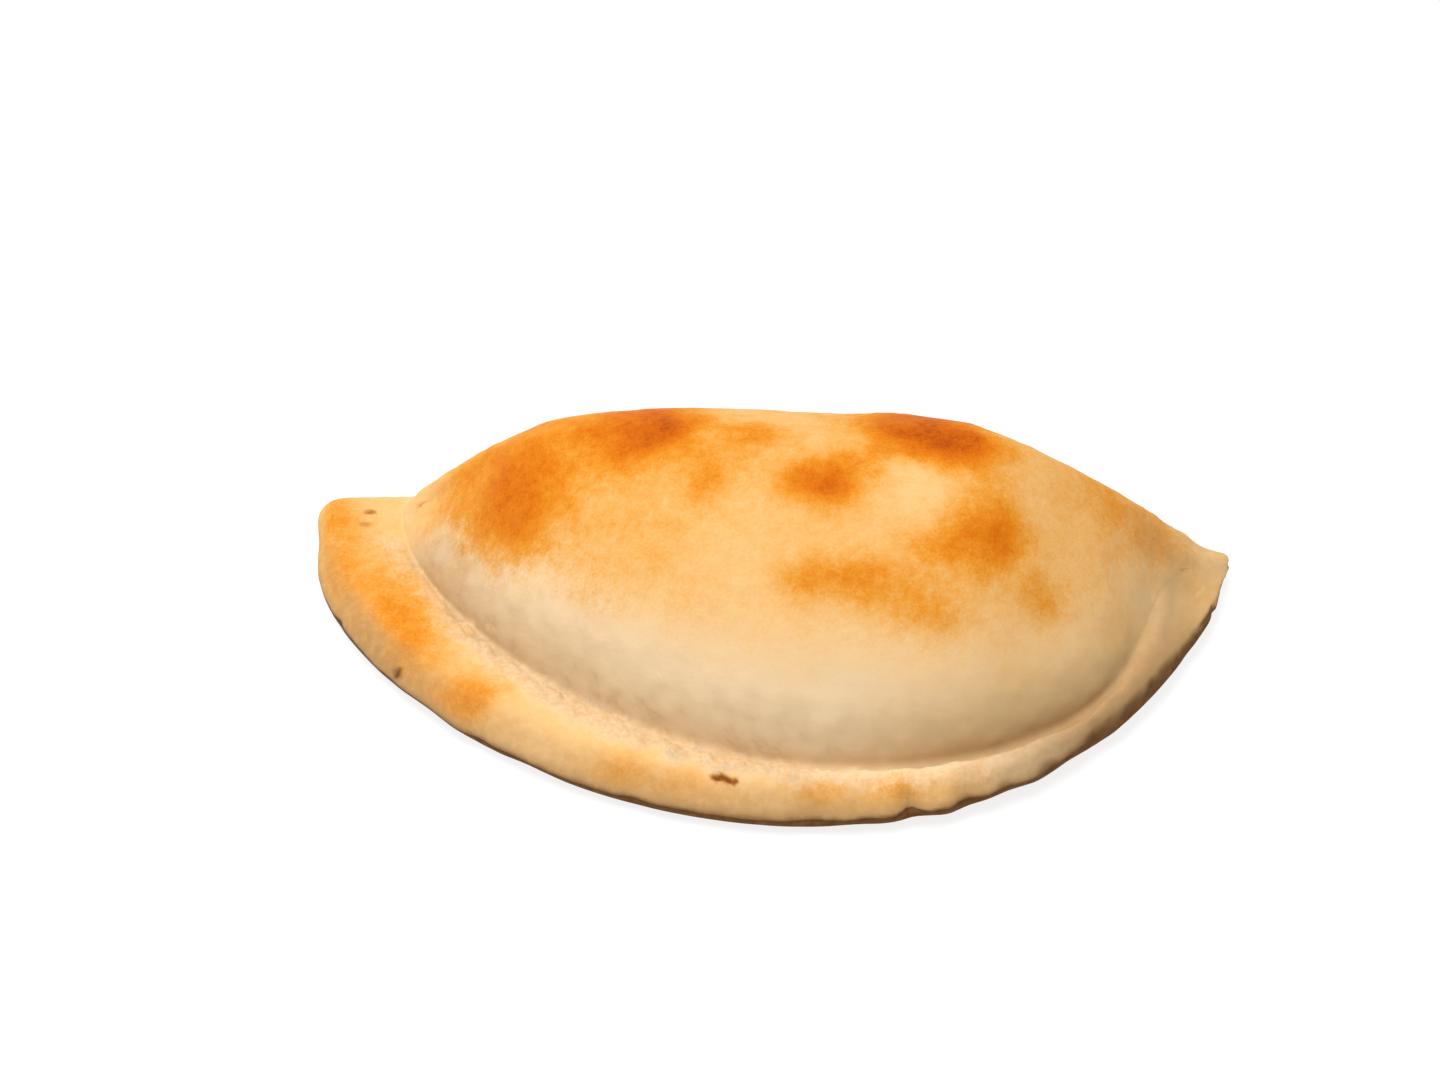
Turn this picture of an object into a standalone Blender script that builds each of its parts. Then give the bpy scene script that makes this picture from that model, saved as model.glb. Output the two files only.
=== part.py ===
# A baked half-moon samosa: one round of dough folded over its filling and sealed with a turned-over rim.
# It lies on its flat base with the rim towards -Y, the fold towards +Y and its length along X.
# Plan sizes are set out from the middle of the line that joins the two ends of the fold.
# The finished solid is then moved so that the origin is under the middle of its box.

import math

import bmesh
import bpy
import numpy as np

MM = 0.001

# Driving sizes
HALF_LENGTH = 70 * MM
FRONT_REACH = 55 * MM  # from the line of the fold to the outer edge of the rim
FOOT_REACH = 47.5 * MM  # from the same line to the crease at the foot of the dome
FOLD_BULGE = 4.5 * MM  # how far the full side stands out behind the line of the fold

# Loops and rings of the mesh
FRONT_SPOKES = 56  # from the right tip along the rim to the middle of the left end
EAR_SPOKES = 8  # round the left corner to where the crease runs out on the fold
FOLD_SPOKES = FRONT_SPOKES - EAR_SPOKES
BASE_RINGS = 4
UNDER_RINGS = 5
LIP_RINGS = 5
RIM_RINGS = 7
DOME_RINGS = 16
EDGE_PASSES = 1  # smoothing passes that round the tip and the left corner
FOOT_PASSES = 6  # smoothing passes that round the ends of the crease
CURVE_STEPS = 180  # points of each front curve before the spokes are spaced along it
FOLD_STEPS = 60
SPINE_STEPS = 400
RIDGE_STEPS = 6  # points between two named points of the ridge
RIDGE_PASSES = 8
WELD = 0.01 * MM

# Corners of the plan
RIGHT_TIP = (HALF_LENGTH + 0.5 * MM, 1.2 * MM)
LEFT_END_FRONT = (-HALF_LENGTH, -5 * MM)
LEFT_END = (-HALF_LENGTH - 0.5 * MM, 3 * MM)
LEFT_CORNER = (-HALF_LENGTH - 0.9 * MM, 12 * MM)
EAR_JOIN = (-57 * MM, 11 * MM)
RIGHT_FOOT = (65.5 * MM, -0.2 * MM)
RIGHT_FOOT_TURN = (57 * MM, -5 * MM)  # where the crease leaves the filling's foot and fades towards the tip
LEFT_FOOT = (-57.8 * MM, 4.5 * MM)
LEFT_FOOT_JOIN = (-57 * MM, 10.2 * MM)
FOLD_FOOT_INSET = 0.8 * MM  # how far inside the widest line the fold's own foot runs

# The deepest point of each front curve along X, and its fullness on either side as a pair of powers
RIM_DEEPEST = 5.5 * MM
FOOT_DEEPEST = 8.5 * MM
RIM_FULLNESS = {"left": (2.0, 1.35), "right": (2.2, 1.34)}
FOOT_FULLNESS = {"left": (1.85, 1.42), "right": (2.4, 2.2)}

# The ridge that the top rises to, from right to left: X, Y and height
RIDGE = (
    (66.5 * MM, 0.9 * MM, 4.4 * MM),
    (60 * MM, -0.5 * MM, 9.4 * MM),
    (50 * MM, -4 * MM, 21.0 * MM),
    (40 * MM, -7 * MM, 30.9 * MM),
    (30 * MM, -9 * MM, 36.0 * MM),
    (18 * MM, -11 * MM, 35.3 * MM),
    (2 * MM, -11 * MM, 36.4 * MM),
    (-13 * MM, -9 * MM, 36.7 * MM),
    (-28 * MM, -5 * MM, 33.8 * MM),
    (-38 * MM, -1 * MM, 28.4 * MM),
    (-47 * MM, 2.5 * MM, 18.8 * MM),
    (-54.5 * MM, 6 * MM, 9.3 * MM),
)
BASE_SPINE = ((44 * MM, -10 * MM), (-50 * MM, 0 * MM))

# How the edge changes on the way round: from the right tip along the rim to the left end, and back along
# the fold.
# share: how far round. base: where the flat base starts, in from the edge. lift: underside of the lip.
# edge: height of the widest line. lip: top of the rim. crease: foot of the dome.
# turn: share of the rim's width taken by its rounded outer edge. fold: 0 on the rim, 1 on the fold.
# round_in, round_up: powers of the dome's curve, 1 for a straight slope and 2 for a round one.
STATIONS = (
    # share  base   lift  edge  lip  crease turn  fold  round_in round_up
    (0.000, 16.0, 1.0, 2.5, 3.6, 4.0, 0.50, 1.00, 1.10, 1.00),
    (0.030, 14.0, 1.2, 3.2, 5.4, 5.9, 0.50, 0.30, 1.20, 1.05),
    (0.060, 11.0, 1.2, 3.5, 6.8, 7.0, 0.50, 0.05, 1.40, 1.20),
    (0.130, 7.0, 0.8, 3.4, 7.6, 6.6, 0.55, 0.00, 2.00, 1.70),
    (0.270, 6.0, 0.5, 3.1, 7.4, 6.2, 0.50, 0.00, 2.20, 1.90),
    (0.380, 6.0, 0.5, 3.1, 7.6, 6.4, 0.36, 0.00, 2.10, 1.80),
    (0.450, 6.5, 0.6, 3.4, 7.4, 6.4, 0.28, 0.00, 1.90, 1.60),
    (0.500, 7.0, 0.8, 3.8, 7.0, 6.5, 0.24, 0.00, 1.20, 1.10),
    (0.545, 7.0, 1.0, 4.0, 6.9, 6.8, 0.24, 0.03, 1.20, 1.15),
    (0.620, 8.0, 0.6, 8.0, 8.6, 9.0, 0.40, 0.90, 1.90, 1.70),
    (0.750, 8.0, 0.3, 12.0, 14.0, 15.0, 0.40, 1.00, 2.00, 2.00),
    (0.900, 9.0, 0.8, 8.5, 10.0, 10.5, 0.40, 1.00, 1.90, 1.80),
)
SHARE, BASE, LIFT, EDGE, LIP, CREASE, TURN, FOLD, ROUND_IN, ROUND_UP = range(10)
LENGTH_COLUMNS = (BASE, LIFT, EDGE, LIP, CREASE)

# Section of the rim and of the fold
LIP_TUCK = 2.2 * MM  # how far under the edge the lip curls
RIM_TURN_SHARE = 0.30  # share of the rim's width that dips into the crease
UNDER_CURVE = 1.7  # power of the underside's rise, 1 for a straight slope
BULGE_ROUNDNESS = 1.2  # power of the fold's bulge, 1 for a plain arch
EDGE_FOLLOWS = 0.5  # share of a pinch's rise that the widest line takes up
FOLD_START = math.radians(22)  # turn of the fold's arc that stands in for the rim

# Pinches that sealed the rim: X, how far the edge moves out, how far the lip's top rises, how far its
# underside rises, and half of the pinch's width
PINCHES = (
    (20.5 * MM, 0.0 * MM, -0.6 * MM, 0.9 * MM, 1.8 * MM),
    (24.5 * MM, 0.9 * MM, 0.5 * MM, 0.0 * MM, 2.4 * MM),
    (28.5 * MM, 0.2 * MM, -0.7 * MM, 1.1 * MM, 2.2 * MM),
    (34.0 * MM, -0.2 * MM, -0.3 * MM, 0.7 * MM, 1.8 * MM),
    (38.0 * MM, 0.4 * MM, 0.4 * MM, 0.0 * MM, 2.4 * MM),
    (42.5 * MM, 0.0 * MM, -0.6 * MM, 1.0 * MM, 2.4 * MM),
    (10.5 * MM, -0.2 * MM, -0.5 * MM, 0.3 * MM, 2.2 * MM),
    (-36.0 * MM, -0.3 * MM, -0.4 * MM, 0.3 * MM, 3.0 * MM),
    (-52.0 * MM, -0.4 * MM, -0.3 * MM, 0.3 * MM, 3.0 * MM),
)

CRUST_COLOUR = (0.86, 0.55, 0.25, 1.0)
CRUST_ROUGHNESS = 0.62


def clear_scene():
    for found in list(bpy.data.objects):
        bpy.data.objects.remove(found)


def smooth_step(share):
    share = np.clip(share, 0, 1)
    return share * share * (3 - 2 * share)


def station_values(share):
    """Every column of STATIONS at a share of the way round, eased from one station to the next, in metres."""
    table = np.array([*STATIONS, STATIONS[0]], float)
    table[-1, SHARE] = 1
    table[:, LENGTH_COLUMNS] *= MM
    share = share % 1
    after = np.searchsorted(table[:, SHARE], share, side="right")
    before = after - 1
    step = (share - table[before, SHARE]) / (table[after, SHARE] - table[before, SHARE])
    return table[before] + (table[after] - table[before]) * smooth_step(step)


def evenly_spaced(line, count):
    """count + 1 points the same distance apart along a line of points."""
    line = np.array(line, float)
    steps = np.linalg.norm(np.diff(line, axis=0), axis=1)
    along = np.concatenate([[0], np.cumsum(steps)])
    wanted = np.linspace(0, along[-1], count + 1)
    return np.stack([np.interp(wanted, along, column) for column in line.T], axis=1)


def front_curve(right, left, deepest, reach, fullness):
    """The curve of the rim or of the dome's foot, from its right end round the front to its left end."""
    points = []
    for turn in np.linspace(0, math.pi, CURVE_STEPS + 1):
        side, end = ("right", right) if turn < math.pi / 2 else ("left", left)
        away = abs(math.cos(turn))
        power_in, power_out = fullness[side]
        depth = (1 - away**power_in) ** (1 / power_out)
        x = deepest + (end[0] - deepest) * away
        points.append((x, end[1] - (end[1] + reach) * depth))
    return points


def fold_curve(left, right, inset):
    """The back of the pasty, from its left corner to its right end: a line that the filling pushes out."""
    points = []
    for share in np.linspace(0, 1, FOLD_STEPS + 1):
        bulge = (FOLD_BULGE - inset) * math.sin(math.pi * share) ** BULGE_ROUNDNESS
        x = left[0] + (right[0] - left[0]) * share
        points.append((x, left[1] + (right[1] - left[1]) * share + bulge))
    return points


def rounded(loop, passes):
    for _ in range(passes):
        loop = (np.roll(loop, 1, axis=0) + 2 * loop + np.roll(loop, -1, axis=0)) / 4
    return loop


def closed_loop(front, ear, fold, passes):
    """The three lines as one loop of spoke ends, from the right end along the front and back again."""
    front = evenly_spaced(front, FRONT_SPOKES)
    ear = evenly_spaced(ear, EAR_SPOKES)
    fold = evenly_spaced(fold, FOLD_SPOKES)
    return rounded(np.concatenate([front[:-1], ear[:-1], fold[:-1]]), passes)


def edge_loop():
    front = front_curve(RIGHT_TIP, LEFT_END_FRONT, RIM_DEEPEST, FRONT_REACH, RIM_FULLNESS)
    fold = fold_curve(EAR_JOIN, RIGHT_TIP, 0)
    return closed_loop([*front, LEFT_END], [LEFT_END, LEFT_CORNER, EAR_JOIN], fold, EDGE_PASSES)


def foot_loop():
    front = front_curve(RIGHT_FOOT_TURN, LEFT_FOOT, FOOT_DEEPEST, FOOT_REACH, FOOT_FULLNESS)
    fold = fold_curve(LEFT_FOOT_JOIN, RIGHT_FOOT, FOLD_FOOT_INSET)
    return closed_loop([RIGHT_FOOT, *front], [LEFT_FOOT, LEFT_FOOT_JOIN], fold, FOOT_PASSES)


def there_and_back(line):
    """A spine's points for every spoke, closer together at its ends, the same ones in front and behind."""
    fine = evenly_spaced(line, SPINE_STEPS)
    places = smooth_step(np.linspace(0, 1, FRONT_SPOKES + 1)) * SPINE_STEPS
    out = np.stack([np.interp(places, range(SPINE_STEPS + 1), column) for column in fine.T], axis=1)
    return np.concatenate([out[:-1], out[:0:-1]])


def smooth_ridge():
    """The ridge as a smooth curve through its named points."""
    line = np.array(RIDGE)
    places = np.linspace(0, len(line) - 1, RIDGE_STEPS * len(line))
    bent = np.stack([np.interp(places, range(len(line)), column) for column in line.T], axis=1)
    for _ in range(RIDGE_PASSES):
        bent[1:-1] = (bent[:-2] + 2 * bent[1:-1] + bent[2:]) / 4
    return bent


def pinch_at(x):
    """How far the pinches move the edge out, the lip's top up and its underside up at this X."""
    moved = np.zeros(3)
    for at, out, top_rise, under_rise, width in PINCHES:
        moved += np.array((out, top_rise, under_rise)) * math.exp(-(((x - at) / width) ** 2))
    return moved


def base_section(edge, spine, values):
    """The flat base, from its spine out to where the underside leaves the table."""
    inward = (spine - edge) / np.linalg.norm(spine - edge)
    rim = edge + inward * values[BASE]
    return [np.append(spine + (rim - spine) * share, 0.0) for share in np.linspace(0, 1, BASE_RINGS + 1)]


def under_section(edge, spine, values):
    """The underside from the base to the lip, and the lip's lower quarter up to the widest line."""
    inward = (spine - edge) / np.linalg.norm(spine - edge)
    points = []
    for share in np.linspace(0, 1, UNDER_RINGS + 1)[1:]:
        inset = values[BASE] + (LIP_TUCK - values[BASE]) * share
        points.append(np.append(edge + inward * inset, values[LIFT] * share**UNDER_CURVE))
    for turn in np.linspace(0, math.pi / 2, LIP_RINGS + 1)[1:]:
        inset = LIP_TUCK * (1 - math.sin(turn))
        height = values[EDGE] - (values[EDGE] - values[LIFT]) * math.cos(turn)
        points.append(np.append(edge + inward * inset, height))
    return points


def rim_section(edge, foot, values):
    """The top of the rim, from its widest line over the rounded lip and down into the crease."""
    points = []
    for share in np.linspace(0, 1, RIM_RINGS + 1)[1:]:
        rounding = min(share / values[TURN], 1)
        height = values[EDGE] + (values[LIP] - values[EDGE]) * math.sqrt(1 - (1 - rounding) ** 2)
        dip = smooth_step((share - 1 + RIM_TURN_SHARE) / RIM_TURN_SHARE)
        height += (values[CREASE] - values[LIP]) * dip
        points.append(np.append(edge + (foot - edge) * share, height))
    return points


def dome_section(foot, top, values):
    """The dome above the rim, from the crease up to the ridge."""
    points = []
    for share in np.linspace(0, 1, DOME_RINGS + 1)[1:]:
        away = math.cos(share * math.pi / 2)
        rise = (1 - away ** values[ROUND_IN]) ** (1 / values[ROUND_UP])
        level = top[:2] + (foot - top[:2]) * away
        points.append(np.append(level, values[CREASE] + (top[2] - values[CREASE]) * rise))
    return points


def fold_section(edge, top, values):
    """The full side at the back: one round sweep from the widest line up to the ridge."""
    turns = [
        *np.linspace(0, FOLD_START, RIM_RINGS + 1)[1:],
        *np.linspace(FOLD_START, math.pi / 2, DOME_RINGS + 1)[1:],
    ]
    points = []
    for turn in turns:
        level = edge + (top[:2] - edge) * (1 - math.cos(turn))
        points.append(np.append(level, values[EDGE] + (top[2] - values[EDGE]) * math.sin(turn)))
    return points


def sections():
    """Every spoke as a line of points from the middle of the base round the edge to the ridge."""
    edges, feet = edge_loop(), foot_loop()
    ridge, base_spine = there_and_back(smooth_ridge()), there_and_back(BASE_SPINE)
    count = len(edges)
    made = []
    for spoke in range(count):
        values = station_values(spoke / count)
        foot, top = feet[spoke], ridge[spoke]
        outward = (edges[spoke] - top[:2]) / np.linalg.norm(edges[spoke] - top[:2])
        edge = edges[spoke]
        if spoke < FRONT_SPOKES:
            out, top_rise, under_rise = pinch_at(edge[0])
            edge = edge + outward * out
            values[LIP] += top_rise
            values[LIFT] += under_rise
            values[EDGE] += under_rise * EDGE_FOLLOWS
        rim = [*rim_section(edge, foot, values), *dome_section(foot, top, values)]
        fold = fold_section(edge, top, values)
        upper = np.array(rim) * (1 - values[FOLD]) + np.array(fold) * values[FOLD]
        base = base_section(edge, base_spine[spoke], values)
        under = under_section(edge, base_spine[spoke], values)
        made.append(np.concatenate([base, under, upper]))
    return np.array(made)


def crust_mesh():
    """One closed skin: the sections joined spoke to spoke, with both spines sewn together."""
    grid = sections()
    spokes, rings = grid.shape[:2]
    skin = bmesh.new()
    rows = [[skin.verts.new(point) for point in section] for section in grid]
    for spoke in range(spokes):
        row, following = rows[spoke], rows[(spoke + 1) % spokes]
        for ring in range(rings - 1):
            skin.faces.new((row[ring], row[ring + 1], following[ring + 1], following[ring]))
    bmesh.ops.remove_doubles(skin, verts=skin.verts, dist=WELD)
    bmesh.ops.recalc_face_normals(skin, faces=skin.faces)
    mesh = bpy.data.meshes.new("samosa")
    skin.to_mesh(mesh)
    skin.free()
    mesh.shade_smooth()
    return mesh


def centre_over_origin(mesh):
    """Moves the mesh so that the origin is under the middle of its box."""
    points = np.array([vertex.co for vertex in mesh.vertices])
    low, high = points.min(axis=0), points.max(axis=0)
    middle = (low + high) / 2
    for vertex in mesh.vertices:
        vertex.co.x -= middle[0]
        vertex.co.y -= middle[1]


def crust_material():
    crust = bpy.data.materials.new("baked crust")
    crust.use_nodes = True
    surface = crust.node_tree.nodes["Principled BSDF"]
    surface.inputs["Base Color"].default_value = CRUST_COLOUR
    surface.inputs["Roughness"].default_value = CRUST_ROUGHNESS
    surface.inputs["Metallic"].default_value = 0.0
    return crust


def build_samosa():
    mesh = crust_mesh()
    centre_over_origin(mesh)
    mesh.materials.append(crust_material())
    samosa = bpy.data.objects.new("samosa", mesh)
    bpy.context.scene.collection.objects.link(samosa)
    return samosa


clear_scene()
build_samosa()
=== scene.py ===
import math

import bmesh
import bpy
import numpy as np
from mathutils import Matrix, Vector, noise
from mathutils.bvhtree import BVHTree
from mathutils.kdtree import KDTree


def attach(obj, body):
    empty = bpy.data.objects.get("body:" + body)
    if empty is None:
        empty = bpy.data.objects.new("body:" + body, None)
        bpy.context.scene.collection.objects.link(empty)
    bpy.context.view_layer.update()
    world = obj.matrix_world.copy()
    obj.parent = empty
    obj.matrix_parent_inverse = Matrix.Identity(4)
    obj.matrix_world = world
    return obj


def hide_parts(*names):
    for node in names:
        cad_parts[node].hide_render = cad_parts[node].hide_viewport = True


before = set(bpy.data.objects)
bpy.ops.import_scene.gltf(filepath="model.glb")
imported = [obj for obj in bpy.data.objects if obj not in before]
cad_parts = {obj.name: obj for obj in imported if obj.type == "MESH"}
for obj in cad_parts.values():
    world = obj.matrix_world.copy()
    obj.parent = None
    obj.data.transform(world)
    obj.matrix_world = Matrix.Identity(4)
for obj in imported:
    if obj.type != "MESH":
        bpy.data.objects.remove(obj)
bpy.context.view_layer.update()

# The baked samosa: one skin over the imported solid, with the dough's relief and a crust browned in patches.
# Lengths are in mm and turned into metres on their way into Blender.

mm = 0.001


# Small helpers

seedOffset = Vector((17.3, -9.1, 5.7))  # how far apart two seeds lie in the noise
plainGain = 1.4  # brings noise of one octave to about -1 to 1
octaveFade = 1.0  # how fast the finer octaves weaken
octaveStep = 2.0  # how much finer each octave is


def eased(value, low, high):
    # 0 below low, 1 above high, smooth between
    share = np.clip((value - low) / (high - low), 0, 1)
    return share * share * (3 - 2 * share)


def fading(value, low, high, share=1.0):
    # 1 below low, less by the share above high
    return 1 - share * eased(value, low, high)


def bell(distance, width):
    # 1 at no distance, falling off to about a third at the width
    return np.exp(-((distance / width) ** 2))


def planGap(spots, x, y):
    # how far each spot is from a place, seen from above
    return np.hypot(spots[:, 0] - x, spots[:, 1] - y)


def alongX(spots, stops):
    # a value that changes along the length, from pairs of X and value
    return np.interp(spots[:, 0], *zip(*stops))


def noiseOver(spots, size, seed, octaves=1):
    # one value from about -1 to 1 for every spot
    offset = seedOffset * seed
    places = (Vector(spot) / size + offset for spot in spots)
    made = np.array([noise.fractal(place, octaveFade, octaveStep, octaves) for place in places])
    return made if octaves > 1 else made * plainGain


def placesAndNormals(mesh):
    # places in mm and the directions that the skin faces
    count = len(mesh.vertices)
    spots, normals = np.zeros(count * 3), np.zeros(count * 3)
    mesh.vertices.foreach_get("co", spots)
    mesh.vertices.foreach_get("normal", normals)
    return spots.reshape(-1, 3) / mm, normals.reshape(-1, 3)


def moved(mesh, spots):
    mesh.vertices.foreach_set("co", (spots * mm).ravel())
    mesh.update()


# Plan lines that the rim, the foot of the dome and the fold follow, the same curves as the solid's

planLines = {
    "toMiddle": (0.52, 21.61),  # from the line between the fold's ends to the middle of the box
    "rimRight": (70.5, 1.2),
    "rimLeft": (-70.0, -5.0),
    "rimReach": 55.0,  # how far the rim comes forward
    "rimDeepest": 5.5,  # X where it comes furthest
    "rimFullness": ((2.2, 1.34), (2.0, 1.35)),  # powers of the curve to the right and to the left
    "leftEnd": ((-70.5, 3.0), (-70.9, 12.0), (-57.0, 11.0)),
    "footTip": (65.5, -0.2),
    "footRight": (57.0, -5.0),
    "footLeft": (-57.8, 4.5),
    "footReach": 47.5,
    "footDeepest": 8.5,
    "footFullness": ((2.4, 2.2), (1.85, 1.42)),
    "footJoin": (-57.0, 10.2),
    "foldBulge": 4.5,
    "foldPower": 1.2,
    "steps": 90,  # points along each curve
}


def frontCurve(right, left, deepest, reach, fullness):
    # a full curve from the right end round the front to the left end
    points = []
    for turn in np.linspace(0, math.pi, planLines["steps"]):
        end, (powerIn, powerOut) = (right, fullness[0]) if turn < math.pi / 2 else (left, fullness[1])
        away = abs(math.cos(turn))
        depth = (1 - away**powerIn) ** (1 / powerOut)
        points.append((deepest + (end[0] - deepest) * away, end[1] - (end[1] + reach) * depth))
    return points


def foldCurve(left, right):
    # the back line from left to right, bulging in the middle
    points = []
    for share in np.linspace(0, 1, planLines["steps"]):
        bulge = planLines["foldBulge"] * math.sin(math.pi * share) ** planLines["foldPower"]
        x, y = (start + (end - start) * share for start, end in zip(left, right))
        points.append((x, y + bulge))
    return points


def rimLoop():
    # the outline of the whole pastry
    lines = planLines
    right, left = lines["rimRight"], lines["rimLeft"]
    front = frontCurve(right, left, lines["rimDeepest"], lines["rimReach"], lines["rimFullness"])
    back = foldCurve(lines["leftEnd"][-1], right)
    return np.array([*front, *lines["leftEnd"], *back]) + lines["toMiddle"]


def footLoop():
    # the line round the foot of the dome
    lines = planLines
    right, left = lines["footRight"], lines["footLeft"]
    front = frontCurve(right, left, lines["footDeepest"], lines["footReach"], lines["footFullness"])
    back = foldCurve(lines["footJoin"], lines["footTip"])
    return np.array([lines["footTip"], *front, *back]) + lines["toMiddle"]


shortest = 1e-6  # mm, a stretch of line below this has no direction


def distanceToLoop(plan, loop):
    # signed distance from a closed line, positive outside, and how far round the nearest place is
    starts, ends = loop, np.roll(loop, -1, axis=0)
    runs = ends - starts
    lengths = np.linalg.norm(runs, axis=1)
    along = np.concatenate([[0], np.cumsum(lengths)[:-1]])
    nearest = np.full(len(plan), np.inf)
    place = np.zeros(len(plan))
    crossings = np.zeros(len(plan), int)
    for start, end, run, length, before in zip(starts, ends, runs, lengths, along):
        if length < shortest:
            continue
        share = np.clip((plan - start) @ run / length**2, 0, 1)
        gap = np.linalg.norm(plan - start - share[:, None] * run, axis=1)
        closer = gap < nearest
        nearest[closer] = gap[closer]
        place[closer] = before + share[closer] * length
        spans = (start[1] > plan[:, 1]) != (end[1] > plan[:, 1])
        slope = run[0] / run[1] if run[1] else 0.0
        crossings += spans & (plan[:, 0] < start[0] + (plan[:, 1] - start[1]) * slope)
    return np.where(crossings % 2 == 1, -nearest, nearest), place


# The skin of the whole pastry, a rounded copy of the solid

skin = {
    "node": "samosa",
    "name": "samosaCrust",
    "weld": 0.02,  # distance at which the corners of the solid's loose triangles are joined
    "flatJoin": (60, 70),  # largest bend and skew in degrees between two triangles that are joined
    "subdivisions": 2,
}


def mergedSkin():
    # a welded copy of the solid, turned back into four-sided faces and subdivided
    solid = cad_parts[skin["node"]]
    bm = bmesh.new()
    bm.from_mesh(solid.data)
    bmesh.ops.transform(bm, matrix=solid.matrix_world, verts=bm.verts)
    bmesh.ops.remove_doubles(bm, verts=bm.verts, dist=skin["weld"] * mm)
    bend, skew = (math.radians(angle) for angle in skin["flatJoin"])
    bmesh.ops.join_triangles(bm, faces=bm.faces, angle_face_threshold=bend, angle_shape_threshold=skew)
    mesh = bpy.data.meshes.new(skin["name"] + "Cage")
    bm.to_mesh(mesh)
    bm.free()
    cage = bpy.data.objects.new(skin["name"] + "Cage", mesh)
    bpy.context.scene.collection.objects.link(cage)
    rounding = cage.modifiers.new("rounding", "SUBSURF")
    rounding.levels = skin["subdivisions"]
    rounding.render_levels = skin["subdivisions"]
    bpy.context.view_layer.update()
    shaped = bpy.data.meshes.new_from_object(cage.evaluated_get(bpy.context.evaluated_depsgraph_get()))
    bpy.data.objects.remove(cage)
    shaped.name = skin["name"]
    return shaped


# Where the dough flows together: the crease is soft on the left, crisper to the right and fades at the tip

softening = {
    "crease": (
        (-75.0, -8.0, 99.0, 2.6, 22),  # from X, to X, up to Y, reach on either side and smoothing passes
        (-8.0, 14.0, 99.0, 1.6, 8),
        (48.0, 75.0, 14.0, 6.0, 50),
        (46.0, 75.0, 16.0, 7.0, 20),
    ),
    "ends": ((-53.4, 27.5, 8.0), (63.5, 20.5, 6.0)),  # X, Y and radius of the two ends of the ridge
    "endPasses": 30,
    "evenShare": 0.45,  # part of that radius in which the relief follows one direction
    "factor": 0.5,  # strength of one smoothing pass
    "lowest": 3.2,  # the skin is smoothed only above this height
}


def softened(mesh):
    # smooths the skin in the zones along the crease and at the ends of the ridge
    bm = bmesh.new()
    bm.from_mesh(mesh)
    spots = np.array([v.co for v in bm.verts]) / mm
    out, _ = distanceToLoop(spots[:, :2], footLoop())
    top = spots[:, 2] > softening["lowest"]
    zones = []
    for start, stop, back, reach, passes in softening["crease"]:
        along = (spots[:, 0] > start) & (spots[:, 0] < stop) & (spots[:, 1] < back)
        zones.append((top & along & (abs(out) < reach), passes))
    for x, y, radius in softening["ends"]:
        zones.append((top & (planGap(spots, x, y) < radius), softening["endPasses"]))
    bm.verts.ensure_lookup_table()
    for chosen, passes in zones:
        verts = [bm.verts[index] for index in np.flatnonzero(chosen)]
        for _ in range(passes):
            bmesh.ops.smooth_vert(
                bm, verts=verts, factor=softening["factor"], use_axis_x=True, use_axis_y=True, use_axis_z=True
            )
    bm.to_mesh(mesh)
    bm.free()
    mesh.update()


def evened(spots, normals):
    # faces crowd together at the ends of the ridge, so the relief follows one even direction there
    for x, y, radius in softening["ends"]:
        away = planGap(spots, x, y)
        near = (away < radius) & (spots[:, 2] > softening["lowest"])
        share = (near * bell(away, radius * softening["evenShare"]))[:, None]
        normals = normals * (1 - share) + normals[near].mean(axis=0) * share
    return normals / np.linalg.norm(normals, axis=1, keepdims=True)


# The pointed end: the dome slopes evenly out to the rim with no valley between, and the tip tucks in below

pointedEnd = {
    "fill": (48.0, 58.0),  # X where the slope begins and where it is whole
    "slices": (46.0, 71.0, 1.0),  # X from, X to and step of the slices that the slope is measured on
    "sliceReach": 0.4,
    "share": 0.85,  # of the valley that is filled
    "curve": 1.15,  # above 1 the slope is hollow
    "rimIn": 1.6,  # how far in from the edge the slope starts
    "rimReach": 0.9,
    "lowest": 2.6,  # only skin above this height is measured and filled
    "levelled": 0.8,  # share of the rim's bulge that the slope takes away
    "levelledUp": (0.6, 0.9),  # how far up the slope that fades
    "ridgeFade": (0.8, 1.0),  # and how far up the whole change fades
    "tip": (70.0, 22.5, 6.5),  # X, Y and radius
    "drooped": 0.7,  # how far the very tip hangs lower
    "droopFrom": (1.5, 4.0),  # height where it begins to hang and where it hangs whole
    "pulls": (  # X, Y, radius, pull along X, height where it is whole and height where it has faded
        (70.0, 22.5, 6.5, -4.4, 0.0, 4.2),
        (69.8, 23.0, 3.4, 2.3, 2.9, 0.6),
        (68.5, 14.5, 4.0, -0.8, 1.0, 5.0),
    ),
}


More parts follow.
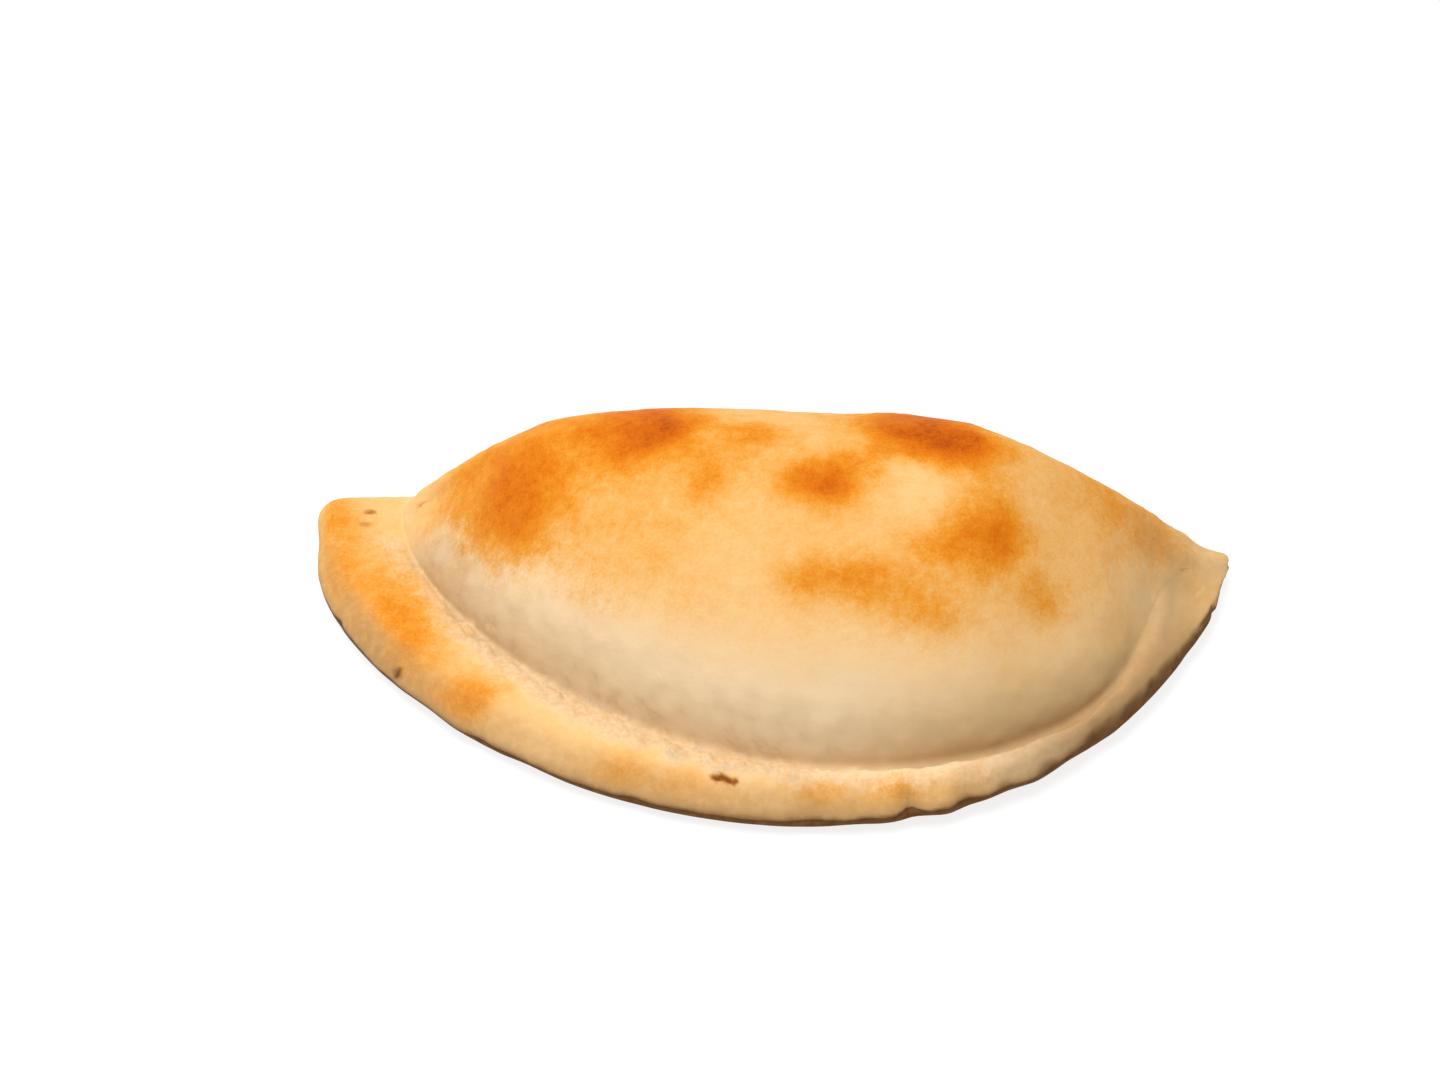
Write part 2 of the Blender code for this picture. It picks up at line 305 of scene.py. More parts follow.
def slopedEnd(mesh):
    # fills the valley between dome and rim, and draws the tip out above its tucked-in underside
    end = pointedEnd
    spots, _ = placesAndNormals(mesh)
    slices = np.arange(*end["slices"])
    lines = []
    for at in slices:
        near = spots[(abs(spots[:, 0] - at) < end["sliceReach"]) & (spots[:, 2] > end["lowest"])]
        ridge = near[near[:, 2].argmax()]
        front = near[:, 1].min() + end["rimIn"]
        edge = near[abs(near[:, 1] - front) < end["rimReach"]][:, 2].max()
        lines.append((front, edge, ridge[1], ridge[2]))
    front, edge, ridgeAt, ridgeTall = (np.interp(spots[:, 0], slices, line) for line in np.array(lines).T)
    up = np.clip((spots[:, 1] - front) / (ridgeAt - front), 0, 1)
    rise = edge + (ridgeTall - edge) * up ** end["curve"] - spots[:, 2]
    share = end["share"] * eased(spots[:, 0], *end["fill"]) * (up > 0) * (up < 1)
    share *= (spots[:, 2] > end["lowest"]) * fading(up, *end["ridgeFade"])
    spots[:, 2] += share * np.where(rise > 0, rise, end["levelled"] * fading(up, *end["levelledUp"]) * rise)
    x, y, radius = end["tip"]
    spots[:, 2] -= end["drooped"] * bell(planGap(spots, x, y), radius) * eased(spots[:, 2], *end["droopFrom"])
    for x, y, radius, pull, whole, faded in end["pulls"]:
        height = abs(spots[:, 2] - whole) / abs(faded - whole)
        spots[:, 0] += pull * bell(planGap(spots, x, y), radius) * fading(height, 0, 1)
    moved(mesh, spots)


# The blunt end: its back corner is squarer than the rounded solid's

bluntEnd = {
    "corner": (-69.0, 31.0, 4.4),  # X, Y and radius
    "pulled": (-0.7, 0.5),  # along X and Y
    "above": (1.0, 3.0),  # height where the pull begins and where it is whole
}


def squaredCorner(mesh):
    # pulls the blunt end's back corner outwards
    spots, _ = placesAndNormals(mesh)
    x, y, radius = bluntEnd["corner"]
    near = bell(planGap(spots, x, y), radius) * eased(spots[:, 2], *bluntEnd["above"])
    for axis, pull in enumerate(bluntEnd["pulled"]):
        spots[:, axis] += pull * near
    moved(mesh, spots)


# Where the oven browned it: place on the top seen from above, spread along X and up the slope, and strength

browning = {
    "seed": 4,
    "ragged": 0.17,  # how far the edge of a patch wanders, as a share of its spread
    "raggedSize": 4.0,
    "raggedOctaves": 3,
    "rim": 0.10,  # browning away from the patches, on the rim and at the foot and the top of the dome
    "dome": (0.02, 0.155),
    "domeHeight": (8.0, 33.0),  # heights of that foot and top
    "cloud": (14.0, 0.05),  # size and strength of faint unevenness
    "depth": 9.0,  # how far a patch reaches through the crust's curve
    "fall": 0.7,  # how fast it fades outwards
    "rayFrom": 1000.0,  # height from which the top is looked for
    "patches": {
        "leftShoulder": (
            (-39.5, 13.4, 6.0, 6.0, 0.58),
            (-37.5, 7.6, 5.5, 4.2, 0.50),
            (-36.5, 16.2, 7.0, 5.0, 0.46),
            (-32.6, 9.8, 4.5, 4.0, 0.34),
            (-41.5, 20.5, 5.5, 5.0, 0.36),
            (-29.0, 17.5, 7.5, 5.0, 0.48),
            (-46.0, 17.0, 5.0, 6.0, 0.34),
            (-50.0, 24.0, 6.0, 5.0, 0.36),
            (-45.5, 25.5, 5.0, 5.0, 0.38),
            (-39.0, 9.0, 9.5, 8.0, 0.20),
        ),
        "leftCrest": (
            (-22.6, 10.6, 3.4, 3.4, 0.46),
            (-20.0, 13.0, 4.6, 3.8, 0.62),
            (-15.6, 14.6, 4.6, 4.0, 0.86),
            (-18.5, 20.0, 7.0, 5.5, 0.84),
        ),
        "middleCrest": ((-2.9, 13.2, 4.4, 3.4, 0.54), (-4.5, 9.8, 2.2, 2.4, 0.26)),
        "middleTop": ((-10.1, 2.6, 3.2, 3.4, 0.44), (-9.0, 6.5, 4.0, 3.0, 0.26)),
        "centreSpot": ((7.3, 2.7, 5.0, 3.6, 0.88), (10.8, 6.8, 3.8, 3.2, 0.50), (3.2, 3.8, 3.2, 2.8, 0.40)),
        "rightCrest": (
            (24.8, 11.8, 5.6, 4.6, 0.97),
            (29.8, 10.8, 3.8, 3.4, 0.66),
            (17.6, 15.0, 4.8, 3.6, 0.66),
            (22.5, 13.6, 4.4, 3.4, 0.60),
            (21.5, 19.5, 9.0, 5.0, 0.86),
            (26.8, 8.6, 3.0, 2.2, 0.30),
        ),
        "rightTop": (
            (31.8, 0.4, 3.8, 5.0, 0.46),
            (31.0, -4.2, 4.6, 3.4, 0.42),
            (33.2, -2.6, 2.4, 3.6, 0.30),
            (24.5, -6.4, 4.6, 2.8, 0.46),
            (27.5, -2.0, 3.6, 3.4, 0.28),
            (29.5, -7.6, 3.0, 2.4, 0.20),
        ),
        "frontSpots": (
            (9.6, -11.4, 5.2, 2.6, 0.44),
            (3.4, -12.0, 3.2, 2.2, 0.34),
            (13.0, -10.4, 3.4, 2.2, 0.26),
            (17.5, -13.2, 4.0, 2.8, 0.32),
            (22.4, -14.8, 4.0, 2.8, 0.34),
        ),
        "rightSpot": ((39.0, -8.2, 3.0, 2.6, 0.38), (36.0, -7.6, 2.6, 2.2, 0.16)),
        "palerGap": ((19.5, 3.0, 6.0, 5.0, -0.12),),
        "faintGlow": (
            (-18.0, -4.6, 5.0, 4.0, 0.18),
            (-25.5, -6.0, 6.0, 4.5, 0.14),
            (-13.0, -12.5, 4.0, 4.0, 0.12),
            (-8.0, 8.0, 13.0, 7.0, 0.16),
            (-34.0, 6.0, 10.0, 8.0, 0.18),
            (-22.0, 3.0, 8.0, 6.0, 0.20),
            (22.0, -9.0, 20.0, 8.0, 0.20),
            (44.0, 6.0, 10.0, 12.0, 0.18),
            (57.0, 16.0, 6.5, 5.0, 0.52),
            (50.0, 15.0, 7.0, 6.0, 0.34),
            (50.0, -2.0, 7.0, 9.0, 0.12),
        ),
        "rimLeft": (
            (-56.8, 7.0, 3.6, 5.0, 0.42),
            (-53.6, -1.2, 3.8, 4.8, 0.50),
            (-46.2, -11.4, 4.4, 3.6, 0.50),
            (-43.4, -13.0, 2.6, 2.6, 0.44),
            (-61.5, 14.0, 5.0, 7.0, 0.30),
            (-67.0, 27.0, 3.4, 6.0, 0.50),
            (-66.5, 17.0, 3.0, 6.0, 0.34),
            (-55.0, 2.0, 7.0, 12.0, 0.20),
        ),
        "rimFront": (
            (-37.0, -20.4, 4.4, 3.0, 0.36),
            (-30.0, -24.5, 4.6, 2.2, 0.32),
            (-22.4, -26.2, 4.2, 2.4, 0.36),
            (-13.5, -29.0, 4.4, 1.8, 0.22),
            (6.4, -31.0, 3.8, 2.0, 0.34),
            (17.4, -30.6, 3.8, 2.4, 0.36),
            (28.0, -28.0, 5.0, 2.4, 0.14),
        ),
        "foldBack": (
            (-30.0, 28.0, 9.0, 7.0, 0.42),
            (-6.0, 29.0, 8.0, 6.0, 0.36),
            (17.0, 28.5, 10.0, 7.0, 0.46),
            (38.0, 25.0, 7.0, 6.0, 0.34),
        ),
    },
}


def surfaceUnder(tree, x, y):
    # the place on the top at this plan position, and the direction it faces
    hit = tree.ray_cast(Vector((x * mm, y * mm, browning["rayFrom"] * mm)), Vector((0, 0, -1)))
    return (np.array(hit[0]) / mm, np.array(hit[1])) if hit[0] else (None, None)


def browned(spots, tree, creaseOut):
    # how far the crust has browned at each vertex, 0 for pale dough and 1 for the darkest patch
    oven = browning
    low, high = oven["dome"]
    toast = low + (high - low) * eased(spots[:, 2], *oven["domeHeight"])
    toast[creaseOut > 0] = oven["rim"]
    size, strength = oven["cloud"]
    toast += strength * noiseOver(spots, size, oven["seed"])
    ragged = oven["ragged"] * noiseOver(spots, oven["raggedSize"], oven["seed"] + 1, oven["raggedOctaves"])
    pale = np.ones(len(spots))
    for patch in oven["patches"].values():
        for x, y, spreadX, spreadUp, strength in patch:
            centre, facing = surfaceUnder(tree, x, y)
            if centre is None:
                continue
            across = np.cross(facing, (1.0, 0, 0))
            across /= np.linalg.norm(across)
            sideways = np.cross(across, facing)
            away = spots - centre
            squares = (away @ sideways / spreadX) ** 2 + (away @ across / spreadUp) ** 2
            squares += (away @ facing / oven["depth"]) ** 2
            pale *= 1 - strength * np.exp(-oven["fall"] * squares * (1 + ragged) ** 2)
    return np.clip(1 - (1 - np.clip(toast, 0, 1)) * pale, 0, 1)


# Relief that baking and handling left on the dough

relief = {
    "seed": 11,
    "swell": (24.0, 0.40),  # size of the bumps and how high they stand, as in the next three
    "ripple": (8.0, 0.12),
    "wrinkle": (3.2, 0.06),
    "grain": (1.5, 0.035),
    "blisters": 170,  # how many
    "blisterRadius": (1.0, 2.9),
    "blisterHeight": (0.06, 0.19),
    "blisterElsewhere": 0.15,  # chance of a blister where nothing browned
    "sharp": (-5.0, 25.0),  # X from soft to sharp crease
    "sharpEnds": (44.0, 56.0),  # X from sharp to soft again
    "front": (10.0, 20.0),  # Y over which the rim's marks fade towards the back
    "creaseGroove": (0.05, 1.4),  # depth and half width along the left of the crease
    "creaseSharp": (0.6, 0.8),  # the same to the right, where the dome overhangs it
    "grooveOut": 0.1,  # how far outside the dome's foot the groove lies
    "grooveWaver": 0.4,  # share of the edge's wandering that the groove follows
    "waver": 1.7,  # how far the crumbly edge of the rim wanders
    "waverSize": 3.0,
    "waverOctaves": 3,
    "waverSeed": 18,
    "waverRight": 0.6,  # share of the wandering that is gone on the right
    "rimSide": (-0.6, 0.8),  # the crumbs stay on the rim's side of the crease
    "bandMiddle": 2.0,  # how far outside the crease the band of crumbs has its middle
    "crumbs": (2.2, 0.8, 1.5),  # size, height and half width of their band
    "crumbOctaves": 3,
    "crumbSeed": 20,
    "crumbBase": (0.1, 2.0),  # share of the height that is even and share that is lumpy
    "crumbSoft": 0.16,  # how round the lumps' lower edges are
    "crumbRight": 0.8,  # share of the crumbs that is gone where the crease is sharp
    "crumbsEnd": (44.0, 54.0),  # X over which the last ones fade
    "fineCrumbs": (1.0, 0.19, 2.6),
    "fineOctaves": 2,
    "fineSeed": 21,
    "fineEnd": (30.0, 46.0),
    "folds": 22,  # small folds across the rim
    "foldAlong": 205.0,  # stretch of the crease over which they are dealt out
    "foldSlant": 0.5,
    "foldDepth": (0.15, 0.5),
    "foldWidth": (1.2, 2.6),
    "foldReach": (2.5, 8.5),  # how far in from the edge they begin to fade and are gone
    "foldWaver": 0.4,  # share of the edge's wandering that they follow
    "onRim": (0.0, 0.8),  # how far outside the crease the rim's marks begin and are whole
    "onRimBack": (12.0, 22.0),  # Y over which they fade
    "facingDown": (0.1, 0.6),  # how far the surface turns down where the relief begins to fade and has faded
    "flatDown": 0.75,  # share of the relief that is gone on the sole
    "offBase": (0.4, 2.5),  # height below which there is no relief and above which it is whole
    "lifts": (  # X, Y, radius and height along the ridge
        (-52.0, 26.0, 5.5, -0.8),
        (-42.0, 24.0, 7.0, -0.6),
        (43.0, 20.0, 7.0, -0.5),
        (56.0, 18.5, 6.0, 0.6),
        (61.5, 20.0, 5.0, 0.8),
        (29.0, 18.0, 4.0, 0.5),
    ),
    "dents": (  # X, Y, radius and depth
        (22.9, -30.0, 1.8, 0.7),
        (19.2, -32.2, 1.6, 1.2),
        (27.4, -30.6, 2.2, 1.1),
        (33.2, -28.0, 2.2, 0.4),
        (40.4, -23.6, 2.6, 0.3),
        (13.0, -31.6, 2.0, 0.35),
        (46.0, -18.6, 2.0, 0.3),
    ),
}

# The rim's outer side is tan and its lower edge dark, browned where it lay on the tray, with painted shade on
# the side and painted shadow under the edge

rimBrownAndShade = {
    # tan on the rim's outer side, browning with painted shade
    "tanAndShade": (  # X and strength
        (-72.0, 0.30),
        (-66.0, 0.55),
        (-60.0, 0.95),
        (-52.0, 0.70),
        (-44.0, 0.40),
        (-20.0, 0.45),
        (6.0, 0.45),
        (17.0, 0.15),
        (26.0, 0.40),
        (45.0, 0.60),
        (56.0, 0.60),
        (64.0, 0.30),
        (71.0, 0.00),
    ),
    "tanAndShadeBack": (16.0, 28.0),
    "tanAndShadeIn": (-5.2, -2.0),  # how far in from the rim's outline it begins and is whole
    "tanAndShadeRagged": (5.0, 0.8),  # size and reach of its wandering edge
    "tanAndShadeOnToast": (0.3, 0.7, 0.35),  # browning from and to, and the share of tan that gives way to it
    "turned": (  # X and how far up the rounded edge the dark reaches
        (-72.0, 0.00),
        (-60.0, 0.08),
        (-30.0, 0.12),
        (10.0, 0.16),
        (30.0, 0.26),
        (42.0, 0.28),
        (50.0, 0.44),
        (57.0, 0.60),
        (66.0, 0.66),
        (70.0, 0.00),
    ),
    "turnedRagged": (3.0, 0.06),
    "turnedFade": 0.25,  # softness of the dark edge's upper side
    "notch": 0.12,  # how much further up the dark reaches in a dent, for each mm of its depth
    "below": (5.0, 7.0),  # heights between which the dark ends
    "darkIn": (-9.0, -7.0),  # how far in from the rim's outline it begins and is whole
    "darkBack": (20.0, 32.0, 0.4),  # Y from and to, and the share that is gone at the back
    "raggedOctaves": 2,
    "seed": 31,
}

specks = {
    "places": (  # X, Y, half length, half width and strength
        (-8.1, -28.4, 1.05, 0.55, 1.00),
        (-6.2, -29.1, 0.80, 0.45, 0.90),
        (-55.7, -4.4, 1.20, 0.60, 0.90),
        (-62.0, 28.8, 0.85, 0.50, 0.55),
        (-62.6, 26.0, 0.80, 0.50, 0.35),
    ),
    "tall": 1.5,  # how far a speck reaches up and down, in half widths
    "fade": (0.6, 1.6),
    "toast": 0.85,  # browning under a speck
    "depth": 0.25,  # how far it is sunk in
}


def blistered(spots, toast, place):
    # low rounded blisters, most of them where the crust browned
    form = relief
    chance = np.random.default_rng(form["seed"])
    tree = KDTree(len(spots))
    for index, spot in enumerate(spots):
        tree.insert(spot, index)
    tree.balance()
    raised = np.zeros(len(spots))
    weights = (form["blisterElsewhere"] + toast) * place
    centres = chance.choice(len(spots), form["blisters"], p=weights / weights.sum())
    for centre in centres:
        radius = chance.uniform(*form["blisterRadius"])
        tall = chance.uniform(*form["blisterHeight"])
        for _, index, away in tree.find_range(spots[centre], radius):
            raised[index] += tall * (1 - (away / radius) ** 2) ** 2
    return raised


def specked(spots, tree):
    # each burnt speck's strength in its middle, fading to 0 outside it
    marks = np.zeros(len(spots))
    for x, y, long, short, dark in specks["places"]:
        centre, _ = surfaceUnder(tree, x, y)
        if centre is None:
            continue
        away = (spots - centre) / (long, short, short * specks["tall"])
        marks = np.maximum(marks, dark * fading(np.linalg.norm(away, axis=1), *specks["fade"]))
    return marks


def wavered(spots):
    # how far the edge between the rim's crumbly band and the dome strays from an even line
    form = relief
    strays = form["waver"] * noiseOver(spots, form["waverSize"], form["waverSeed"], form["waverOctaves"])
    return strays * fading(spots[:, 0], *form["sharp"], form["waverRight"])


def creaseRelief(spots, creaseOut, waver):
    # the crease at the foot of the dome, soft on the left and sharp on the right, and the crumbs beside it
    form = relief
    x = spots[:, 0]
    right = eased(x, *form["sharp"]) * fading(x, *form["sharpEnds"])
    front = fading(spots[:, 1], *form["front"])
    (softDepth, softWidth), (sharpDepth, sharpWidth) = form["creaseGroove"], form["creaseSharp"]
    depth = softDepth + (sharpDepth - softDepth) * right
    width = softWidth + (sharpWidth - softWidth) * right
    rise = -depth * bell(creaseOut - form["grooveOut"] + form["grooveWaver"] * waver, width) * front
    fromBand = creaseOut - form["bandMiddle"] + waver
    onSide = front * eased(creaseOut, *form["rimSide"])
    size, tall, wide = form["crumbs"]
    plain, rough = form["crumbBase"]
    lumpy = noiseOver(spots, size, form["crumbSeed"], form["crumbOctaves"])
    lumps = plain + rough * np.hypot(lumpy, form["crumbSoft"])
    spread = bell(fromBand, wide) * onSide * (1 - form["crumbRight"] * right)
    rise += tall * lumps * spread * fading(x, *form["crumbsEnd"])
    size, tall, wide = form["fineCrumbs"]
    fine = noiseOver(spots, size, form["fineSeed"], form["fineOctaves"])
    return rise + tall * fine * bell(fromBand, wide) * onSide * fading(x, *form["fineEnd"])


def raisedBy(spots, normals, toast, creaseOut, rimIn, along, marks):
    # how far each vertex moves along its normal
    form = relief
    facingDown = eased(-normals[:, 2], *form["facingDown"])
    offBase = eased(spots[:, 2], *form["offBase"])
    onRim = eased(creaseOut, *form["onRim"]) * fading(spots[:, 1], *form["onRimBack"])
    rise = np.zeros(len(spots))
    for step, key in enumerate(("swell", "ripple", "wrinkle", "grain")):
        size, tall = form[key]
        rise += tall * noiseOver(spots, size, form["seed"] + step)
    for x, y, radius, tall in form["lifts"]:
        rise += tall * bell(planGap(spots, x, y), radius)
    rise += blistered(spots, toast, (1 - facingDown) * offBase)
    waver = wavered(spots)
    rise += creaseRelief(spots, creaseOut, waver)
    # small folds across the rim
    chance = np.random.default_rng(form["seed"] + 1)
    atEdge = onRim * fading(rimIn, *form["foldReach"])
    for _ in range(form["folds"]):
        at = chance.uniform(0, form["foldAlong"])
        slant = chance.uniform(-form["foldSlant"], form["foldSlant"])
        deep = chance.uniform(*form["foldDepth"])
        wide = chance.uniform(*form["foldWidth"])
        rise -= deep * bell(along - at + slant * creaseOut + form["foldWaver"] * waver, wide) * atEdge
    for x, y, radius, deep in form["dents"]:
        rise -= deep * bell(planGap(spots, x, y), radius) * onRim
    rise -= specks["depth"] * marks
    return rise * offBase * (1 - form["flatDown"] * facingDown)


# Where each shade of the dough lies, one value for every vertex

shades = {
    "sole": (0.15, 0.55),  # how far the surface turns down where the sole begins and is whole
    "lipHeight": (2.2, 6.4),  # heights between which the brown and painted shade just above the sole fade
    "lipTurned": (0.10, 0.80),  # how far the surface turns up where it begins to fade and is gone
    "valleyWidth": 1.6,  # half width of the painted shade in the crease
    "valleyUp": (  # X and how much wider on the wall
        (-50.0, 3.6),
        (-38.0, 2.4),
        (-10.0, 1.5),
        (10.0, 1.5),
        (40.0, 2.3),
    ),
    "valleyOut": ((10.0, 0.35), (50.0, 1.35)),  # X and how much wider it is on the rim
    "valleyBack": (14.0, 26.0),  # Y over which it fades
    "valleyDeeper": (  # X and how dark the painted shade is
        (-50.0, 1.7),
        (-38.0, 1.3),
        (-24.0, 0.9),
        (4.0, 0.85),
        (30.0, 1.9),
        (50.0, 2.3),
        (58.0, 1.2),
    ),
    "rimShade": ((30.0, 0.0), (46.0, 2.4), (58.0, 2.3), (66.0, 1.0)),  # X and painted shade over the whole rim
    "rimShadeOut": (0.2, 3.0),  # how far outside the crease it begins and is whole
    "wallFoot": (-1.2, 1.0),  # pale dough low on the dome, from the crease inwards
    "wallTop": (16.0, 29.0),  # heights between which it fades
    "wallBack": (15.0, 25.0, 0.9),
    "wallShare": ((8.0, 0.98), (34.0, 0.15)),  # X and how pale
    "bandInner": (-0.6, 0.4),  # pale band of crumbs on the rim, outside the crease
    "bandOuter": (3.0, 6.0),
    "bandBack": (18.0, 27.0),
    "bandEnd": (42.0, 56.0, 0.7),
    "crumbsEnd": (-2.0, 16.0),
}


def underShades(spots, normals):
    # the flat sole, and the lip just above it: tray browning, with painted shade where it turns away from the
    # light
    limits = shades
    sole = eased(-normals[:, 2], *limits["sole"])
    lip = fading(spots[:, 2], *limits["lipHeight"]) * fading(normals[:, 2], *limits["lipTurned"]) * (1 - sole)
    return {"sole": sole, "lipBrownAndShade": lip}


def rimShades(spots, normals, rimOut, toast):
    # the dark lower edge of the rim, browning with painted shadow, and the tan side above it, browning with
    # painted shade
    brownAndShade = rimBrownAndShade
    size, amount = brownAndShade["turnedRagged"]
    strays = amount * noiseOver(spots, size, brownAndShade["seed"], brownAndShade["raggedOctaves"])
    turned = alongX(spots, brownAndShade["turned"]) + strays
    for x, y, radius, deep in relief["dents"]:
        turned += brownAndShade["notch"] * deep * bell(planGap(spots, x, y), radius)
    dark = eased(turned - normals[:, 2], 0, brownAndShade["turnedFade"]) * fading(spots[:, 2], *brownAndShade["below"])
    dark *= eased(rimOut, *brownAndShade["darkIn"]) * fading(spots[:, 1], *brownAndShade["darkBack"])
    size, amount = brownAndShade["tanAndShadeRagged"]
    inward = rimOut + amount * noiseOver(spots, size, brownAndShade["seed"] + 1, brownAndShade["raggedOctaves"])
    tanAndShade = alongX(spots, brownAndShade["tanAndShade"]) * fading(spots[:, 1], *brownAndShade["tanAndShadeBack"])
    tanAndShade *= eased(inward, *brownAndShade["tanAndShadeIn"]) * fading(toast, *brownAndShade["tanAndShadeOnToast"])
    return {"darkEdgeAndShadow": dark, "tanAndShade": tanAndShade}


def doughShades(spots, creaseOut):
    # the painted shade in the crease and on the rim of the pointed end, the pale wall above it and the pale
    # crumbs outside it
    limits = shades
    x, y, z = spots.T
    ragged = creaseOut + wavered(spots)
    wider = np.where(ragged < 0, alongX(spots, limits["valleyUp"]), alongX(spots, limits["valleyOut"]))
    paintedShade = bell(ragged / wider, limits["valleyWidth"]) * fading(y, *limits["valleyBack"])
    paintedShade *= alongX(spots, limits["valleyDeeper"])
    paintedShade += alongX(spots, limits["rimShade"]) * eased(creaseOut, *limits["rimShadeOut"])
    wall = eased(-ragged, *limits["wallFoot"]) * fading(z, *limits["wallTop"])
    wall *= fading(y, *limits["wallBack"])
    band = eased(ragged, *limits["bandInner"]) * fading(ragged, *limits["bandOuter"])
    band *= fading(y, *limits["bandBack"]) * fading(x, *limits["bandEnd"])
    dough = np.clip(wall * alongX(spots, limits["wallShare"]) + band, 0, 1)
    return {"paintedShade": paintedShade, "dough": dough, "crumbs": band * fading(x, *limits["crumbsEnd"])}


def crustPiece():
    # the whole pastry in one skin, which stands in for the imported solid
    mesh = mergedSkin()
    slopedEnd(mesh)
    squaredCorner(mesh)
    softened(mesh)
    spots, normals = placesAndNormals(mesh)
    tree = BVHTree.FromPolygons([v.co for v in mesh.vertices], [p.vertices for p in mesh.polygons])
    creaseOut, along = distanceToLoop(spots[:, :2], footLoop())
    rimOut, _ = distanceToLoop(spots[:, :2], rimLoop())
    marks = specked(spots, tree)
    toast = np.maximum(browned(spots, tree, creaseOut), specks["toast"] * marks)
    print("browning worked out for", len(spots), "vertices")

    rise = raisedBy(spots, normals, toast, creaseOut, -rimOut, along, marks)
    spots = spots + evened(spots, normals) * rise[:, None]
    spots[:, 2] = np.maximum(spots[:, 2], 0)
    moved(mesh, spots)
    mesh.shade_smooth()
    print("relief from", round(rise.min(), 2), "to", round(rise.max(), 2), "mm")

    fields = {"toast": toast, "speck": marks}
    fields.update(underShades(spots, normals))
    fields.update(rimShades(spots, normals, rimOut, toast))
    fields.update(doughShades(spots, creaseOut))
    for name, values in fields.items():
        layer = mesh.attributes.new(name, "FLOAT", "POINT")
        layer.data.foreach_set("value", values.astype(np.float32))

    crust = bpy.data.objects.new(skin["name"], mesh)
    bpy.context.scene.collection.objects.link(crust)
    mesh.materials.clear()
    mesh.materials.append(crustMaterial())
    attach(crust, "root")
    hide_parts(skin["node"])


# The baked finish, as linear colours from the palest dough to the darkest patch

crustFinish = {
    "toastTrail": (
        (0.00, (0.875, 0.580, 0.270)),
        (0.14, (0.885, 0.530, 0.205)),
        (0.34, (0.855, 0.430, 0.112)),
        (0.55, (0.805, 0.310, 0.030)),
        (0.72, (0.745, 0.222, 0.008)),
        (0.86, (0.675, 0.158, 0.003)),
        (0.95, (0.575, 0.112, 0.002)),
        (1.00, (0.440, 0.078, 0.002)),
    ),
    "paleDough": (0.93, 0.705, 0.445),
    # the pale dough made darker on the rim's band, as painted shade
    "bandDoughShaded": (0.77, 0.575, 0.355),
    "crumbTan": (0.73, 0.49, 0.25),
    "soleDark": (0.28, 0.11, 0.032),
    "solePale": (0.62, 0.33, 0.12),
    # the lip above the sole: tray browning with painted shade on sides turned away from the light
    "lipTan": (0.55, 0.32, 0.14),
    "lipBrown": (0.22, 0.105, 0.038),
    # painted shade for the crease and the rim of the pointed end
    "paintedShadeColour": (0.46, 0.295, 0.135),
    # tan of the rim's outer side, browning with painted shade
    "tanAndShadeColour": (0.50, 0.28, 0.115),
    # the dark lower edge: tray browning with painted shadow under the rim
    "edgeBrown": (0.125, 0.052, 0.013),
    "speckBrown": (0.095, 0.030, 0.011),
    "mottle": (1.5, 3, 0.60),  # size, detail and roughness of a noise
    "freckle": (0.42, 2, 0.55),
    "cloud": (6.0, 2, 0.50),
    "crumb": (0.75, 2, 0.50),
    "pebble": (0.30, 3, 0.60),
    "crackle": (1.1, 4, 0.65),
    "halfBrowned": (1.05, 4.0),  # browning at which grain stops counting, and its gain
    "wander": (0.24, 0.10),  # how much the mottle shifts the browning where half browned, and everywhere
    "dots": (0.26, 0.10),  # the same for the freckles
    "drift": 0.16,  # how much the clouds shift it
    "paintedShadeShare": 0.34,  # of the painted shade in the crease and on the rim
    # each of these holds a value from and to, and what comes out at the one and at the other
    "paleUpTo": (0.08, 0.50, 0.9, 0.0),  # browning, and the share of pale dough that stays
    "crumbMix": (0.40, 0.62, 0.0, 0.9),  # noise, and the share of the second colour
    "soleMix": (0.35, 0.68, 0.0, 1.0),
    "lipPatches": (0.2, 0.8, 0.8, 1.1),  # mottle, and how strong the lip's brown is
    "lipTanMix": (0.05, 0.60, 0.0, 0.7),
    "lipBrownMix": (0.50, 1.00, 0.0, 1.0),
    "tanAndShadePatches": (0.2, 0.8, 0.6, 1.1),
    "edgePatches": (0.25, 0.75, 0.85, 1.0),
    "speckPatches": (0.2, 0.8, 0.75, 1.1),
    "roughness": (0.1, 0.9, 0.70, 0.54),  # browning, and the roughness
    "specular": 0.06,
    "subsurface": 0.06,
    "subsurfaceReach": 1.6,  # how far light spreads in the dough
    "subsurfaceTint": (1.0, 0.45, 0.18),
    "bumpShares": (0.35, 0.65),  # of the pebbles and of the crackle
    "bumpStrength": 0.55,
    "bumpHeight": 0.22,
}


colourSlots = (6, 7)  # inputs of a colour mix that take its two colours
blendedSlot = 2  # and the output that gives the mixed one


